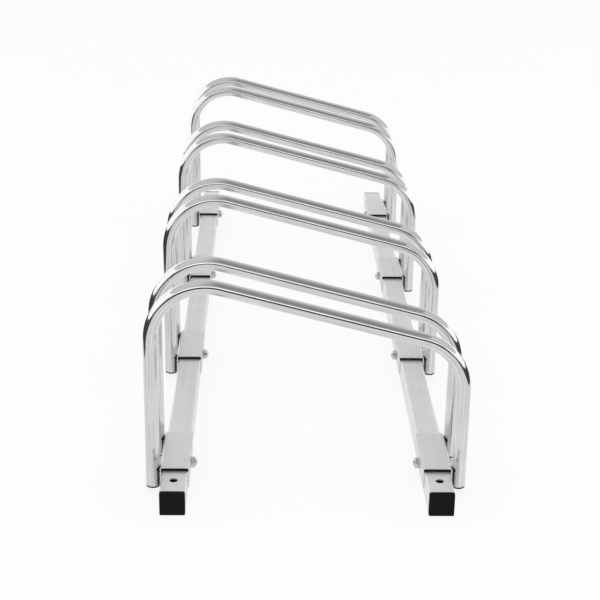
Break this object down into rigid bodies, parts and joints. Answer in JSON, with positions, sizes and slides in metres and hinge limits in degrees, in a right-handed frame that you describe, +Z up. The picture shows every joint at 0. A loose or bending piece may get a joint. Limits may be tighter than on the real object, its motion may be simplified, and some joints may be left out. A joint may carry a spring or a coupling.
{
  "type": "floor bike rack",
  "caption": "Floor bike rack: pairs of sloping bent-tube hoops welded to saddles that are bolted across two square rails.",
  "frame": {"origin": "on the floor, at the middle of the rack's bounding box", "axes": "+Y along the rails from the front end to the rear end, +X across the rack from the hoops' high side to their low side, +Z up"},
  "size_m": [0.3188, 1.0064, 0.2245],
  "materials": {
    "rail_zinc": "bright zinc plate, satin, with faint streaks along the tube",
    "hoop_zinc": "bright zinc plate, glossy, with soft reflections",
    "saddle_zinc": "bright zinc plate, satin",
    "fastener_zinc": "bright zinc plate",
    "plug_plastic": "black moulded polyethylene, fine satin"
  },
  "bodies": {
    "root": {"rail_left": "rail_zinc", "rail_right": "rail_zinc", "end_plug_front_left": "plug_plastic", "end_plug_front_right": "plug_plastic", "end_plug_rear_left": "plug_plastic", "end_plug_rear_right": "plug_plastic", "hoop_1_front": "hoop_zinc", "hoop_1_rear": "hoop_zinc", "hoop_2_front": "hoop_zinc", "hoop_2_rear": "hoop_zinc", "hoop_3_front": "hoop_zinc", "hoop_3_rear": "hoop_zinc", "hoop_4_front": "hoop_zinc", "hoop_4_rear": "hoop_zinc", "saddle_left_1": "saddle_zinc", "saddle_left_2": "saddle_zinc", "saddle_left_3": "saddle_zinc", "saddle_left_4": "saddle_zinc", "saddle_right_1": "saddle_zinc", "saddle_right_2": "saddle_zinc", "saddle_right_3": "saddle_zinc", "saddle_right_4": "saddle_zinc", "saddle_bolts_left": "fastener_zinc", "saddle_bolts_right": "fastener_zinc", "cap_nuts_left": "fastener_zinc", "cap_nuts_right": "fastener_zinc"}
  },
  "joints": []
}
